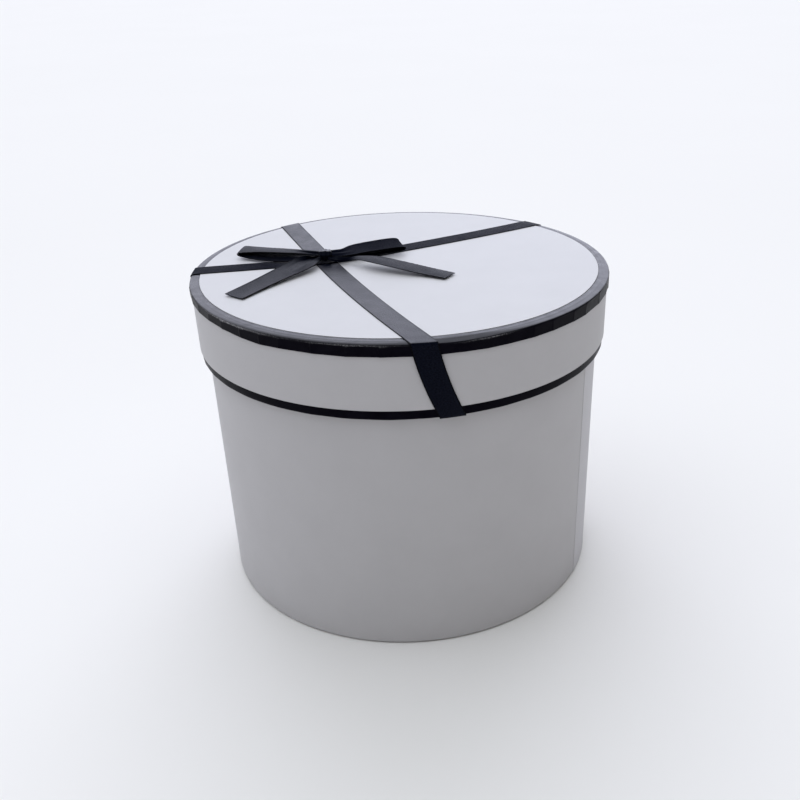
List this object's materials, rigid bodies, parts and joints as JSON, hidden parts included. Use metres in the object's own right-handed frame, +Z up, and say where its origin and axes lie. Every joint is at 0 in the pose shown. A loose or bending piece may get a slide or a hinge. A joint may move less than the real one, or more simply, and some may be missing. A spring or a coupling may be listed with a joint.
{
  "type": "hat box",
  "caption": "Round rigid hat box with a lift-off lid, white paper covering, black paper edgings, crossed satin ribbons and a flat bow.",
  "frame": {"origin": "middle of the underside, on the surface that the box stands on", "axes": "+Z up along the box's axis and the lid's lift; -Y towards the front, +X to the right seen from the front"},
  "size_m": [0.226, 0.226, 0.1817],
  "materials": {
    "greyboard": "matte",
    "white_wrap": "satin",
    "white_lid_paper": "satin",
    "lining_paper": "matte",
    "black_edging": "gloss",
    "black_satin": "satin"
  },
  "bodies": {
    "base": {"base_wall_board": "greyboard", "base_floor_board": "greyboard", "base_outer_wrap": "white_wrap", "base_inner_lining": "lining_paper", "base_floor_lining": "lining_paper", "base_underside_paper": "white_wrap"},
    "lid": {"lid_top_board": "greyboard", "lid_wall_board": "greyboard", "lid_black_cover": "black_edging", "lid_top_paper": "white_lid_paper", "lid_side_paper": "white_lid_paper", "lid_hem_edging": "black_edging", "lid_inner_lining": "lining_paper", "lid_ceiling_lining": "lining_paper", "long_ribbon": "black_satin", "cross_ribbon": "black_satin", "bow_knot": "black_satin", "bow_left_loop": "black_satin", "bow_right_loop": "black_satin", "bow_left_tail": "black_satin", "bow_right_tail": "black_satin"}
  },
  "joints": [
    {"name": "lid_lift", "type": "slide", "parent": "base", "child": "lid", "axis": [0, 0, 1], "range_m": [0, 0.08]}
  ]
}
